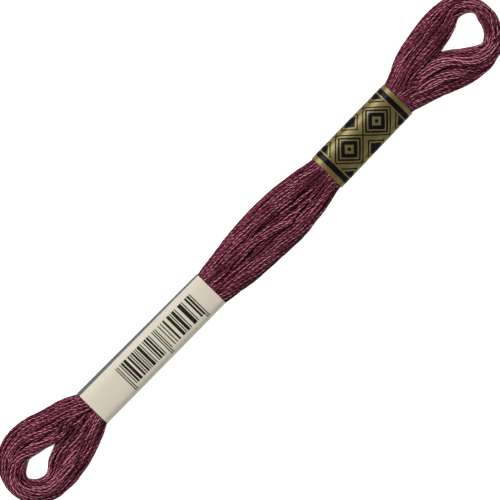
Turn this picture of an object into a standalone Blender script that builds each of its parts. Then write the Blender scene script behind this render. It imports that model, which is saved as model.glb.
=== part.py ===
"""A skein of stranded embroidery floss, held by two paper sleeves and lying flat on a table.

The floss is one long thread, wound round and round into a narrow hank, so it passes along one half
of the skein, turns back through an open eye at the end, and returns along the other half. A long
paper label and a shorter gilt band are wrapped round the hank and hold the turns together. Between
them the floss swells into a belly, and beyond them it opens into the two eyes.

The tables are in millimetres and MM turns them into Blender's metres. +X runs along the skein from
the label to the gilt band, +Y is across it, +Z is up, and the origin is at the middle of the
footprint, on the table.
"""

import math

import bmesh
import bpy

MM = 0.001

# --- Driving sizes, in mm ------------------------------------------------------------------------
WALL = 0.5  # wall of a paper sleeve
GAP = 0.36  # air between the floss and the inside of a sleeve
LIP = 0.35  # how far the narrow neck of the hank stands out of a sleeve's mouth
FLARE = 0.75  # distance from a mouth at which the floss is as wide as the sleeve again
FLATTENING = 0.4  # how much of the round underside the table presses flat
SECTION_STEP = 2.5  # spacing of the hank's sections where it shows
CIRCUIT = 333.0  # length of one turn of the thread, down one half and back along the other

GROOVE_DEPTH = 0.3  # depth of the groove between two strands
BUNDLE_WAVE = 0.1  # how far the waves below lift a bundle of strands above its neighbours
SPREADING = 6.0  # distance from a sleeve at which the bundles have their full height
# Bundles of strands: each wave runs so many times round a half, and so many along the circuit.
WAVE_COLUMNS = ("around", "along", "phase")
WAVES = ((3, 2, 0.3), (5, -3, 1.9), (4, 5, 4.1))
# The strands next to the eye at the label's end lie on top of the others. A place is a distance along
# the circuit from the middle of the high half, and a step counts out from the valley at the top.
BUNDLE_HEIGHT = 0.45
BUNDLE_STEPS = (0.5, 7.5)
BUNDLE_PLACES = (-66.0, -102.0)

OUTER_STEPS = 30  # faces round the outer side of each half: one strand is two of them
INNER_STEPS = 10  # faces across the wall between the halves, and round the inside of an eye
LEG_SECTIONS = 5  # sections from the tip of an eye to its middle, along each leg
TURN_SECTIONS = 18  # sections round the half circle at the end of an eye
EYE_OPENING = 5.0  # distance from an eye's tip at which each leg is fully round

# --- The hank between the two eyes -----------------------------------------------------------------
# x: place along the skein; low_y, high_y: its two edges; divide_y: where its halves meet; top_z: its
# height; cleft: depth of the valley between the halves; spine: where each half is highest, as a share
# of the half's width from the valley.
BODY_COLUMNS = ("x", "low_y", "high_y", "divide_y", "top_z", "cleft", "spine")
BODY = (
    (-65.9, -9.30, 10.00, 0.74, 4.90, 1.00, 0.50),
    (-62.5, -8.62, 8.81, 0.65, 5.00, 0.80, 0.44),
    (-58.9, -7.42, 7.85, 0.50, 5.10, 0.60, 0.38),
    (-56.5, -6.46, 6.89, 0.40, 5.05, 0.45, 0.34),
    (-54.1, -5.35, 5.78, 0.30, 4.90, 0.30, 0.30),
    (-12.1, -5.06, 5.14, 0.05, 4.90, 0.25, 0.28),
    (-8.5, -5.54, 5.54, 0.00, 5.20, 0.30, 0.28),
    (-4.9, -6.22, 6.02, -0.05, 5.45, 0.35, 0.28),
    (-1.3, -6.50, 6.50, -0.05, 5.60, 0.40, 0.28),
    (2.3, -6.74, 6.74, -0.05, 5.70, 0.45, 0.28),
    (7.1, -6.98, 6.94, -0.05, 5.75, 0.45, 0.28),
    (10.7, -7.18, 6.82, -0.10, 5.75, 0.45, 0.28),
    (14.3, -7.03, 6.58, -0.15, 5.70, 0.40, 0.28),
    (17.9, -6.70, 6.02, -0.20, 5.60, 0.35, 0.28),
    (21.5, -6.07, 5.50, -0.25, 5.50, 0.30, 0.28),
    (24.1, -5.50, 4.90, -0.25, 5.40, 0.25, 0.28),
    (52.7, -5.35, 5.50, 0.10, 5.35, 0.25, 0.28),
    (55.1, -6.02, 6.82, 0.25, 5.30, 0.40, 0.34),
    (57.5, -6.86, 7.70, 0.35, 5.20, 0.60, 0.38),
    (59.9, -7.82, 8.42, 0.45, 5.10, 0.75, 0.42),
    (62.3, -8.95, 8.81, 0.50, 5.00, 0.90, 0.46),
    (65.8, -10.10, 9.35, 0.53, 4.90, 1.00, 0.50),
)

# --- The eyes ----------------------------------------------------------------------------------------
# The legs of an eye run from its tip to its middle. outer and inner are the y of each leg's edges.
LEG_COLUMNS = ("x", "high_outer", "high_inner", "low_inner", "low_outer", "top_z")
LEFT_LEGS = (
    (-65.9, 10.00, 0.74, 0.74, -9.30, 4.90),
    (-67.3, 10.34, 1.13, 0.26, -9.42, 4.85),
    (-69.7, 10.70, 1.61, -0.74, -9.52, 4.80),
    (-71.6, 10.80, 1.97, -2.30, -9.38, 4.75),
)
RIGHT_LEGS = (
    (65.8, 9.35, 0.53, 0.53, -10.10, 4.90),
    (67.1, 9.53, 0.75, -0.10, -10.39, 4.90),
    (69.5, 9.70, 1.10, -1.90, -10.70, 4.90),
    (71.9, 9.62, 1.78, -3.67, -10.80, 4.90),
    (74.3, 9.34, 3.05, -4.94, -10.22, 4.90),
)
# Round the end of an eye: turned is the angle from the high leg to the low one, in degrees, and inner
# and outer are the distances of the two edges from the eye's middle.
TURN_COLUMNS = ("turned", "inner", "outer", "top_z")
LEFT_MIDDLE = (-71.6, -0.26)
LEFT_TURN = (
    (0, 2.23, 11.06, 4.75),
    (30, 2.52, 10.87, 4.70),
    (60, 3.20, 10.51, 4.70),
    (90, 4.68, 10.37, 4.70),
    (120, 3.84, 10.06, 4.70),
    (150, 2.88, 9.48, 4.75),
    (180, 2.04, 9.12, 4.75),
)
RIGHT_MIDDLE = (74.3, -0.74)
RIGHT_TURN = (
    (0, 3.79, 10.08, 4.90),
    (30, 4.20, 8.90, 4.90),
    (60, 4.39, 8.16, 4.90),
    (90, 3.19, 7.61, 4.95),
    (120, 3.17, 7.63, 4.95),
    (150, 3.60, 9.00, 4.90),
    (180, 4.20, 9.48, 4.90),
)

# --- The sleeves -------------------------------------------------------------------------------------
LABEL_X = (-53.6, -13.1)
# Outline of the label's section, as y and z, from the crease at its top edge over the face. The wall
# beyond the crease leans out, more at the eye's end of the label than at the belly's.
LABEL_OUTLINE = (
    (4.54, 4.28),
    (2.60, 4.74),
    (0.00, 4.90),
    (-2.40, 4.76),
    (-4.05, 4.14),
    (-4.82, 2.80),
    (-4.60, 1.25),
    (-3.70, 0.28),
    (-2.60, 0.00),
    (0.30, 0.00),
    (3.20, 0.00),
    (4.35, 0.42),
    (5.05, 2.00),
)
LABEL_LEAN = (0.42, 0.0)  # how far the leaning wall moves out, at each end
LABEL_POINTS = 48

BAND_X = (25.2, 51.7)
# The band's edges and top along it.
BAND_COLUMNS = ("x", "low_y", "high_y", "top_z")
BAND = (
    (25.2, -5.30, 4.84, 5.40),
    (38.4, -5.08, 4.93, 5.40),
    (51.7, -4.88, 5.00, 5.35),
)
BAND_POINTS = 44
BAND_SQUARENESS = 2.3  # power of the band's section: 2 is an ellipse, and more is squarer


# --- Reading the tables ------------------------------------------------------------------------------
def gentle_slope(before, after):
    """Slope at a row of a table between the slopes on its two sides, with no overshoot."""
    if before * after <= 0:
        return 0.0
    return 2 * before * after / (before + after)


def read_table(rows, columns, key):
    """The columns of a table at any key, on a smooth curve through its rows."""
    rows = sorted(rows)
    keys = [row[0] for row in rows]
    key = min(max(key, keys[0]), keys[-1])
    index = min(sum(1 for known in keys[1:] if known <= key), len(rows) - 2)
    span = keys[index + 1] - keys[index]
    share = (key - keys[index]) / span
    found = {columns[0]: key}
    for column in range(1, len(columns)):
        slopes = [
            (rows[i + 1][column] - rows[i][column]) / (keys[i + 1] - keys[i])
            for i in range(len(rows) - 1)
        ]
        here = slopes[index]
        start = gentle_slope(slopes[index - 1], here) if index > 0 else here
        end = gentle_slope(here, slopes[index + 1]) if index + 1 < len(slopes) else here
        low, high = rows[index][column], rows[index + 1][column]
        square, cube = share * share, share * share * share
        found[columns[column]] = (
            low * (2 * cube - 3 * square + 1)
            + high * (3 * square - 2 * cube)
            + start * span * (cube - 2 * square + share)
            + end * span * (cube - square)
        )
    return found


def ease(share):
    """Smooth step from 0 to 1."""
    share = min(max(share, 0.0), 1.0)
    return share * share * (3 - 2 * share)


def spaced(points, count):
    """count + 1 points at equal distances along an open line of points."""
    reach = [0.0]
    for a, b in zip(points, points[1:]):
        reach.append(reach[-1] + math.dist(a, b))
    found = []
    index = 0
    for step in range(count + 1):
        want = reach[-1] * step / count
        while index < len(points) - 2 and reach[index + 1] < want:
            index += 1
        share = (want - reach[index]) / (reach[index + 1] - reach[index])
        found.append(tuple(a + (b - a) * share for a, b in zip(points[index], points[index + 1])))
    return found


# --- One half of the hank, seen end on ---------------------------------------------------------------
def strand_relief(step, place, from_sleeve):
    """How far a point stands out of the smooth form: strands, and the bundles that they lie in."""
    if step in (0, OUTER_STEPS):
        return 0.0
    waves = sum(
        math.sin(math.tau * (around * step / OUTER_STEPS + along * place / CIRCUIT) + phase)
        for around, along, phase in WAVES
    )
    relief = BUNDLE_WAVE * waves * ease(from_sleeve / SPREADING)
    if step % 2 == 0:
        relief -= GROOVE_DEPTH
    across = (step - BUNDLE_STEPS[0]) / (BUNDLE_STEPS[1] - BUNDLE_STEPS[0])
    along = (place - BUNDLE_PLACES[0]) / (BUNDLE_PLACES[1] - BUNDLE_PLACES[0])
    if 0 < across < 1 and 0 < along < 1:
        rounded = math.sqrt(math.sin(math.pi * across))
        relief += BUNDLE_HEIGHT * rounded * ease(4 * along * (1 - along))
    return relief


def half_section(width, top_z, cleft, spine, opened, reliefs):
    """Outline of one half as (distance out from the divide, z): its outer side, then its inner wall.

    The outer side runs from the valley at the top, over the half and round to the valley below. The
    inner wall is flat where the halves touch, and bulges as the eye opens between them.
    """
    height = (top_z + FLATTENING) / 2
    middle_z = (top_z - FLATTENING) / 2
    valley_cos = math.sqrt(1 - (1 - cleft / height) ** 2)
    valley = math.pi - math.acos(valley_cos)
    outward = width * (1 - spine)
    inward = width * spine / (valley_cos + (1 - valley_cos) * opened)

    def at(angle):
        reach = outward if math.cos(angle) > 0 else inward
        return width * spine + reach * math.cos(angle), middle_z + height * math.sin(angle)

    fine_steps = 72
    smooth = spaced(
        [at(valley * (1 - 2 * i / fine_steps)) for i in range(fine_steps + 1)], OUTER_STEPS
    )
    outline = [smooth[0]]
    for before, here, after, relief in zip(smooth, smooth[1:], smooth[2:], reliefs[1:]):
        run = math.dist(before, after)
        outline.append(
            (
                here[0] - (after[1] - before[1]) / run * relief,
                here[1] + (after[0] - before[0]) / run * relief,
            )
        )
    outline.append(smooth[-1])
    divide = smooth[0][0]
    for step in range(1, INNER_STEPS):
        angle = -valley - (math.tau - 2 * valley) * step / INNER_STEPS
        reach, z = at(angle)
        outline.append((divide + (reach - divide) * opened, z))
    return [(reach, max(z, 0.0)) for reach, z in outline]


# --- The hank ----------------------------------------------------------------------------------------
def body_stations():
    """Places of the hank's sections between its eyes: close at the sleeves' mouths, even elsewhere."""
    shown = (
        (BODY[0][0], LABEL_X[0] - FLARE),
        (LABEL_X[1] + FLARE, BAND_X[0] - FLARE),
        (BAND_X[1] + FLARE, BODY[-1][0]),
    )
    stations = []
    for start, end in shown:
        count = math.ceil((end - start) / SECTION_STEP)
        stations += [start + (end - start) * i / count for i in range(count + 1)]
    for start, end in (LABEL_X, BAND_X):
        stations += [start - LIP, start + LIP, (start + end) / 2, end - LIP, end + LIP]
    return sorted(stations)


def sleeve_at(x):
    """Outline of the sleeve that a section of the hank lies in, or just outside, or None."""
    for span, outline in ((LABEL_X, label_outline), (BAND_X, band_outline)):
        if span[0] - LIP <= x <= span[1] + LIP:
            return outline(min(max(x, span[0]), span[1]))
    return None


def squeezed_section(x, outline, divide_y):
    """The two halves of the hank inside a sleeve: smooth, and clear of the paper all round."""
    ys = [y for y, _ in outline]
    zs = [z for _, z in outline]
    middle_y, middle_z = (max(ys) + min(ys)) / 2, (max(zs) + min(zs)) / 2
    shrink_y = 1 - 2 * (WALL + GAP) / (max(ys) - min(ys))
    shrink_z = 1 - 2 * (WALL + GAP) / (max(zs) - min(zs))
    line = [
        (middle_y + (y - middle_y) * shrink_y, middle_z + (z - middle_z) * shrink_z)
        for y, z in outline
    ]
    crossings = []
    for start, end in zip(line, line[1:] + line[:1]):
        if (start[0] - divide_y) * (end[0] - divide_y) < 0:
            share = (divide_y - start[0]) / (end[0] - start[0])
            crossings.append(start[1] + (end[1] - start[1]) * share)
    low_z, top_z = sorted(crossings)
    halves = []
    for side in (1, -1):
        points = sorted(
            (point for point in line if (point[0] - divide_y) * side > 0),
            key=lambda point: -math.atan2(point[1] - middle_z, (point[0] - divide_y) * side),
        )
        points = [(divide_y, top_z), *points, (divide_y, low_z)]
        halves.append([(x, y, z) for y, z in spaced(points, OUTER_STEPS)])
    return halves


def distance_from_sleeves(x):
    """How far a section is from the nearest mouth of a sleeve."""
    return min(abs(x - mouth) for mouth in (*LABEL_X, *BAND_X))


def body_section(x):
    """The two halves of the hank at x, as points from the top valley out and round to the bottom one."""
    row = read_table(BODY, BODY_COLUMNS, x)
    sleeve = sleeve_at(x)
    if sleeve:
        return squeezed_section(x, sleeve, row["divide_y"])
    halves = []
    for side, edge, place in ((1, row["high_y"], x), (-1, row["low_y"], CIRCUIT / 2 - x)):
        reliefs = [
            strand_relief(step, place, distance_from_sleeves(x)) for step in range(OUTER_STEPS + 1)
        ]
        outline = half_section(
            abs(edge - row["divide_y"]), row["top_z"], row["cleft"], row["spine"], 0.0, reliefs
        )
        halves.append([(x, row["divide_y"] + side * reach, z) for reach, z in outline])
    return halves


def eye_sections(legs, turn, middle):
    """Sections round an eye, from its tip along the high leg, round the end and back to the tip."""
    tip = legs[0][0]
    outwards = 1 if middle[0] > 0 else -1
    cleft_share = BODY[0][5] / ((BODY[0][4] + FLATTENING) / 2)
    leg_rows = [
        read_table(legs, LEG_COLUMNS, tip + (middle[0] - tip) * i / LEG_SECTIONS)
        for i in range(1, LEG_SECTIONS)
    ]
    frames = []
    for row in leg_rows:
        width = row["high_outer"] - row["high_inner"]
        frames.append((row["x"], row["high_inner"], 0.0, 1.0, width, row["top_z"]))
    for i in range(TURN_SECTIONS + 1):
        row = read_table(turn, TURN_COLUMNS, 180 * i / TURN_SECTIONS)
        angle = math.radians(row["turned"])
        out_x, out_y = outwards * math.sin(angle), math.cos(angle)
        x, y = middle[0] + out_x * row["inner"], middle[1] + out_y * row["inner"]
        frames.append((x, y, out_x, out_y, row["outer"] - row["inner"], row["top_z"]))
    for row in reversed(leg_rows):
        width = row["low_inner"] - row["low_outer"]
        frames.append((row["x"], row["low_inner"], 0.0, -1.0, width, row["top_z"]))
    sections = []
    for number, (x, y, out_x, out_y, width, top_z) in enumerate(frames):
        share = (number + 1) / (len(frames) + 1)
        place = tip + share * (outwards * CIRCUIT / 2 - 2 * tip)
        cleft = cleft_share * (top_z + FLATTENING) / 2
        opened = ease(abs(x - tip) / EYE_OPENING)
        reliefs = [strand_relief(step, place, SPREADING) for step in range(OUTER_STEPS + 1)]
        outline = half_section(width, top_z, cleft, 0.5, opened, reliefs)
        sections.append([(x + out_x * reach, y + out_y * reach, z) for reach, z in outline])
    return sections


def bridge(mesh, first, second):
    """Faces between two closed rings of vertices."""
    count = len(first)
    for i in range(count):
        j = (i + 1) % count
        mesh.faces.new((first[i], first[j], second[j], second[i]))


def add_hank(collection, parent, material):
    """The wound floss: one solid that divides into two legs round each eye."""
    mesh = bmesh.new()
    rings = []
    stations = []
    for x in body_stations():
        high, low = body_section(x)
        high_verts = [mesh.verts.new(point) for point in high[: OUTER_STEPS + 1]]
        low_verts = [mesh.verts.new(point) for point in low[1:OUTER_STEPS]]
        low_verts = [high_verts[0], *low_verts, high_verts[-1]]
        rings.append(high_verts + low_verts[-2:0:-1])
        stations.append((high_verts, low_verts, high[OUTER_STEPS + 1 :]))
    for first, second in zip(rings, rings[1:]):
        bridge(mesh, first, second)
    eyes = (
        (stations[0], LEFT_LEGS, LEFT_TURN, LEFT_MIDDLE),
        (stations[-1], RIGHT_LEGS, RIGHT_TURN, RIGHT_MIDDLE),
    )
    for (high_verts, low_verts, wall), legs, turn, middle in eyes:
        wall_verts = [mesh.verts.new(point) for point in wall]
        ring = high_verts + wall_verts
        for section in eye_sections(legs, turn, middle):
            following = [mesh.verts.new(point) for point in section]
            bridge(mesh, ring, following)
            ring = following
        bridge(mesh, ring, low_verts + wall_verts)
    bmesh.ops.scale(mesh, vec=(MM, MM, MM), verts=mesh.verts)
    bmesh.ops.recalc_face_normals(mesh, faces=mesh.faces)
    return add_object("floss_hank", mesh, (0, 0, 0), collection, parent, material)


# --- The sleeves -------------------------------------------------------------------------------------
def rounded_line(corners):
    """A smooth line through corners, which starts and ends sharply at the first and the last."""
    line = []
    ends = [corners[0], *corners, corners[-1]]
    for before, start, end, after in zip(ends, ends[1:], ends[2:], ends[3:]):
        for step in range(8):
            t = step / 8
            weights = (
                -t / 2 + t * t - t**3 / 2,
                1 - 2.5 * t * t + 1.5 * t**3,
                t / 2 + 2 * t * t - 1.5 * t**3,
                -t * t / 2 + t**3 / 2,
            )
            near = (before, start, end, after)
            y = sum(weight * point[0] for weight, point in zip(weights, near))
            z = sum(weight * point[1] for weight, point in zip(weights, near))
            line.append((y, z))
    line.append(corners[-1])
    return line


def label_outline(x):
    """The label's section at x, as evenly spaced points from the crease round to the crease again."""
    share = (x - LABEL_X[0]) / (LABEL_X[1] - LABEL_X[0])
    lean = LABEL_LEAN[0] + (LABEL_LEAN[1] - LABEL_LEAN[0]) * share
    crease, *face, wall = LABEL_OUTLINE
    line = rounded_line([crease, *face, (wall[0] + lean, wall[1]), crease])
    return [(y, max(z, 0.0)) for y, z in spaced(line, LABEL_POINTS)[:-1]]


def band_outline(x):
    """The gilt band's section at x: a rounded form that the table presses flat below."""
    row = read_table(BAND, BAND_COLUMNS, x)
    middle_y = (row["low_y"] + row["high_y"]) / 2
    half_width = (row["high_y"] - row["low_y"]) / 2
    middle_z = (row["top_z"] - FLATTENING / 2) / 2
    half_height = (row["top_z"] + FLATTENING / 2) / 2
    line = []
    for i in range(4 * BAND_POINTS + 1):
        angle = math.tau * i / (4 * BAND_POINTS)
        across, up = math.cos(angle), math.sin(angle)
        across = math.copysign(abs(across) ** (2 / BAND_SQUARENESS), across)
        up = math.copysign(abs(up) ** (2 / BAND_SQUARENESS), up)
        line.append((middle_y + half_width * across, middle_z + half_height * up))
    return [(y, max(z, 0.0)) for y, z in spaced(line, BAND_POINTS)[:-1]]


def add_sleeve(name, span, outline, sections, collection, parent, material):
    """A paper tube: its outer surface lofted through sections, and thickened inwards."""
    middle = (span[0] + span[1]) / 2
    mesh = bmesh.new()
    rings = []
    for i in range(sections + 1):
        x = span[0] + (span[1] - span[0]) * i / sections
        rings.append([mesh.verts.new((x - middle, y, z)) for y, z in outline(x)])
    for first, second in zip(rings, rings[1:]):
        bridge(mesh, first, second)
    bmesh.ops.scale(mesh, vec=(MM, MM, MM), verts=mesh.verts)
    sleeve = add_object(name, mesh, (middle * MM, 0, 0), collection, parent, material)
    wall = sleeve.modifiers.new("wall", "SOLIDIFY")
    wall.thickness = WALL * MM
    wall.offset = -1
    wall.use_even_offset = True
    wall.use_rim = True
    return sleeve


# --- Objects and finishes ----------------------------------------------------------------------------
def add_finish(name, colour, roughness, metallic=0.0):
    material = bpy.data.materials.new(name)
    material.use_nodes = True
    shader = material.node_tree.nodes["Principled BSDF"]
    shader.inputs["Base Color"].default_value = (*colour, 1)
    shader.inputs["Roughness"].default_value = roughness
    shader.inputs["Metallic"].default_value = metallic
    material.diffuse_color = (*colour, 1)
    return material


def add_object(name, mesh, location, collection, parent, material):
    """Turns a bmesh into a named object, smooth but for its sharp edges."""
    data = bpy.data.meshes.new(name)
    mesh.to_mesh(data)
    mesh.free()
    data.materials.append(material)
    data.shade_smooth()
    data.set_sharp_from_angle(angle=math.radians(50))
    made = bpy.data.objects.new(name, data)
    made.location = location
    made.parent = parent
    collection.objects.link(made)
    return made


def main():
    for thing in list(bpy.data.objects):
        bpy.data.objects.remove(thing)
    collection = bpy.data.collections.new("embroidery_floss_skein")
    bpy.context.scene.collection.children.link(collection)
    skein = bpy.data.objects.new("skein", None)
    collection.objects.link(skein)
    floss = add_finish("mulberry_cotton", (0.150, 0.034, 0.055), 0.65)
    paper = add_finish("cream_paper", (0.672, 0.631, 0.533), 0.55)
    gilt = add_finish("gilt_paper", (0.305, 0.242, 0.091), 0.35, 0.6)
    add_hank(collection, skein, floss)
    add_sleeve("paper_label", LABEL_X, label_outline, 1, collection, skein, paper)
    add_sleeve("gilt_band", BAND_X, band_outline, 2, collection, skein, gilt)


main()
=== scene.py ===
"""A skein of mulberry embroidery floss, held by a paper label and a gilt band, on a white table.

+X runs along the skein from the label to the band, +Y is across it and +Z is up, as in the frame.
Sizes are in millimetres, and MM turns them into Blender's metres.
"""

import math

import bmesh
import bpy
import numpy as np
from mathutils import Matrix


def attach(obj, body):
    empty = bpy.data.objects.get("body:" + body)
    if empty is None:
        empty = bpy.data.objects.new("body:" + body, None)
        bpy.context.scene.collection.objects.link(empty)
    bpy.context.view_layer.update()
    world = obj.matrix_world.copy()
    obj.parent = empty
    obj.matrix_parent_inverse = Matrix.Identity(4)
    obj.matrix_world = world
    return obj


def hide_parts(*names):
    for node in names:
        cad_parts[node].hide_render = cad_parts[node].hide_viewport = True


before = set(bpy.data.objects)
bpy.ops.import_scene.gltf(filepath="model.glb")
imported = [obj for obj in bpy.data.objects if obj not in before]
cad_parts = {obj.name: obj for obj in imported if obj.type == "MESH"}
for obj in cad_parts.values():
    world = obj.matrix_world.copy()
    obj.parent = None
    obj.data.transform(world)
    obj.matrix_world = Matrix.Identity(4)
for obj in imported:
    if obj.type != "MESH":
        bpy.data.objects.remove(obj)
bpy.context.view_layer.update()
MM = 0.001

# --- The view --------------------------------------------------------------------------------------
# The skein is seen from straight above, lying from the lower left to the upper right, through a long
# lens. Its two eyes run a little out of the picture at the corners.
VIEW_HEIGHT = 900.0
VIEW_WIDTH = 120.0  # what the picture shows at the middle of the skein's height
VIEW_CENTRE = (-0.03, -0.06)
VIEW_TURN = -45.5

bpy.context.scene.view_settings.view_transform = "Standard"
camera = bpy.data.objects.new("camera", bpy.data.cameras.new("camera"))
bpy.context.scene.collection.objects.link(camera)
camera.location = (VIEW_CENTRE[0] * MM, VIEW_CENTRE[1] * MM, VIEW_HEIGHT * MM)
camera.rotation_euler = (0, 0, math.radians(VIEW_TURN))
camera.data.lens = camera.data.sensor_width * (VIEW_HEIGHT - 2.5) / VIEW_WIDTH
bpy.context.scene.camera = camera

# --- The floss ---------------------------------------------------------------------------------------
# One thread of mercerised cotton, 8 m long, wound twenty-four times round. It is six loose plies, and
# each ply is two yarns twisted together. The sleeves press the turns into one bundle, which swells
# between them and opens into an eye at each end, and the turns lie over and beside each other in it.
TURNS = 24
STRAND_RADIUS = 0.45
STRAND_SPACING = 0.84  # closest that two strands lie, from middle to middle

# The bundle between the eyes. divide_y: where its two halves meet; spine: where each half is highest,
# as a share of its width from there; crossing: how far a strand may stray over to the other half.
BUNDLE = (
    # x, low_y, high_y, divide_y, low_z, top_z, spine, crossing
    (-65.9, -9.30, 10.00, 0.74, 0.0, 4.10, 0.50, 0.1),
    (-62.5, -8.62, 8.81, 0.65, 0.0, 4.40, 0.46, 0.5),
    (-58.9, -7.42, 7.85, 0.50, 0.0, 4.75, 0.42, 0.9),
    (-56.5, -6.46, 6.89, 0.40, 0.05, 4.90, 0.36, 1.2),
    (-54.1, -5.25, 5.60, 0.30, 0.12, 4.85, 0.30, 1.8),
    (-53.0, -4.75, 5.15, 0.25, 0.15, 4.72, 0.28, 1.8),
    (-13.7, -4.75, 4.85, 0.05, 0.15, 4.72, 0.28, 1.8),
    (-12.1, -5.06, 5.14, 0.05, 0.10, 4.85, 0.28, 1.8),
    (-8.5, -5.54, 5.54, 0.00, 0.0, 5.00, 0.28, 1.8),
    (-4.9, -6.22, 6.02, -0.05, 0.0, 5.10, 0.28, 1.8),
    (-1.3, -6.50, 6.50, -0.05, 0.0, 5.15, 0.28, 1.8),
    (2.3, -6.74, 6.74, -0.05, 0.0, 5.20, 0.28, 1.8),
    (7.1, -6.98, 6.94, -0.05, 0.0, 5.20, 0.28, 1.8),
    (10.7, -7.18, 6.82, -0.10, 0.0, 5.20, 0.28, 1.8),
    (14.3, -7.03, 6.58, -0.15, 0.0, 5.20, 0.28, 1.8),
    (17.9, -6.70, 6.02, -0.20, 0.0, 5.20, 0.28, 1.8),
    (21.5, -6.07, 5.50, -0.25, 0.05, 5.15, 0.28, 1.8),
    (24.3, -5.35, 4.85, -0.25, 0.12, 5.10, 0.28, 1.8),
    (25.8, -5.10, 4.65, -0.22, 0.15, 5.02, 0.28, 1.8),
    (51.1, -4.72, 4.85, 0.05, 0.15, 5.02, 0.28, 1.8),
    (52.7, -5.25, 5.45, 0.10, 0.10, 5.05, 0.28, 1.7),
    (55.1, -6.02, 6.82, 0.25, 0.0, 4.95, 0.34, 1.4),
    (57.5, -6.86, 7.70, 0.35, 0.0, 4.80, 0.38, 0.8),
    (59.9, -7.82, 8.42, 0.45, 0.0, 4.65, 0.42, 0.8),
    (62.3, -8.95, 8.81, 0.50, 0.0, 4.50, 0.46, 0.5),
    (65.8, -10.10, 9.35, 0.53, 0.0, 4.40, 0.50, 0.1),
)
# The legs of each eye, from its tip to its middle: x, then y of the high leg's outer and inner edges
# and of the low leg's inner and outer ones, and the top.
LEFT_LEGS = (
    (-65.9, 10.00, 0.74, 0.74, -9.30, 4.1),
    (-67.3, 10.34, 1.13, 0.26, -9.42, 4.0),
    (-69.7, 10.70, 1.61, -0.74, -9.52, 4.0),
    (-71.6, 10.80, 1.97, -2.30, -9.38, 4.0),
)
RIGHT_LEGS = (
    (65.8, 9.35, 0.53, 0.53, -10.10, 4.4),
    (67.1, 9.53, 0.75, -0.10, -10.39, 4.4),
    (69.5, 9.70, 1.10, -1.90, -10.70, 4.5),
    (71.9, 9.62, 1.78, -3.67, -10.80, 4.6),
    (74.3, 9.34, 3.05, -4.94, -10.22, 4.7),
)
# Round the end of each eye: degrees turned from the high leg, inner and outer distance from the eye's
# middle, and the top.
LEFT_MIDDLE = (-71.6, -0.26)
LEFT_END = (
    (0, 2.23, 11.06, 4.0),
    (30, 2.52, 10.87, 4.0),
    (60, 3.20, 10.51, 4.1),
    (90, 4.68, 10.37, 4.4),
    (120, 3.84, 10.06, 4.3),
    (150, 2.88, 9.48, 4.1),
    (180, 2.04, 9.12, 4.0),
)
RIGHT_MIDDLE = (74.3, -0.74)
RIGHT_END = (
    (0, 3.79, 10.08, 4.7),
    (30, 4.20, 8.90, 5.0),
    (60, 4.39, 8.16, 5.4),
    (90, 3.19, 7.61, 5.6),
    (120, 3.17, 7.63, 5.5),
    (150, 3.60, 9.00, 5.0),
    (180, 4.20, 9.48, 4.7),
)
BUNDLE_STATIONS = 54
LEG_STATIONS = 3
END_STATIONS = 21
# Furrows between strands at the top: x and y of each one's points, and how wide it is.
FURROWS = (
    (((-9.5, 1.0), (-1.0, 1.7), (8.0, 1.5), (15.0, 0.6), (22.0, -0.2)), 0.45),
    (((-12.0, -2.6), (-5.0, -2.7), (2.0, -2.9)), 0.12),
    (((3.5, -1.9), (8.0, -2.9), (14.0, -3.4), (22.0, -3.3)), 0.20),
    (((61.6, -2.4), (64.5, -3.9), (66.9, -5.8), (68.5, -7.4), (70.7, -8.4), (73.6, -8.7)), 0.25),
    (((66.6, 4.3), (69.5, 4.9), (72.1, 5.4)), 0.35),
    (((-75.5, 6.2), (-73.5, 6.0), (-71.5, 5.6)), 0.40),
)
# Bundles of a few turns that lie on top of the others: the turns, the half that the stretch belongs to
# (1 is high, -1 is low), how far they are lifted, and x and y of the points that the middle passes.
BUNDLES = (
    ((0, 1, 2), 1, 1.0, (
        (-60.5, 0.9), (-62.0, 1.0), (-64.9, 1.4), (-67.3, 2.2), (-69.7, 3.2), (-72.1, 4.2),
        (-74.5, 4.7), (-76.9, 4.3), (-78.6, 3.1), (-79.5, 1.6), (-79.7, -0.1), (-79.4, -1.5), (-78.6, -3.0),
    )),
    ((0, 1, 2), -1, 1.0, (
        (-79.5, 1.6), (-79.7, -0.1), (-79.4, -1.5), (-78.6, -3.0), (-77.4, -4.6), (-76.0, -5.7),
        (-74.5, -6.2), (-72.0, -6.0), (-69.7, -5.6), (-66.0, -5.0), (-62.0, -4.2),
    )),
    ((20, 21, 22), 1, 0.25, (
        (-79.0, 6.0), (-76.3, 7.0), (-73.5, 7.2), (-70.0, 6.7), (-66.0, 5.5), (-62.0, 4.3),
        (-58.0, 3.1), (-55.0, 2.3),
    )),
    ((4, 5), -1, 1.0, (
        (-3.0, 1.0), (-1.0, 0.9), (1.1, 0.7), (3.9, 0.2), (6.8, -0.6), (9.1, -1.4), (11.4, -2.2),
        (14.5, -2.7),
    )),
    ((8, 9, 10), -1, 1.0, (
        (56.0, -0.2), (59.0, -0.2), (62.3, -0.5), (64.7, -1.3), (66.4, -3.1), (67.8, -4.8), (69.5, -6.4),
        (71.4, -7.3), (73.8, -7.5), (76.2, -6.9), (77.9, -5.8),
    )),
    ((12, 13, 14), -1, 1.0, (
        (55.0, -2.5), (58.7, -2.9), (61.1, -3.4), (63.5, -4.8), (65.9, -6.6), (67.8, -8.2),
    )),
    ((16, 17, 18), 1, 1.0, ((76.9, 4.8), (78.6, 3.3), (79.9, 1.2), (80.4, -0.7), (80.2, -2.9), (79.1, -5.3))),
    ((16, 17, 18), -1, 1.0, ((79.9, 1.2), (80.4, -0.7), (80.2, -2.9), (79.1, -5.3), (77.5, -7.5))),
)


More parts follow.
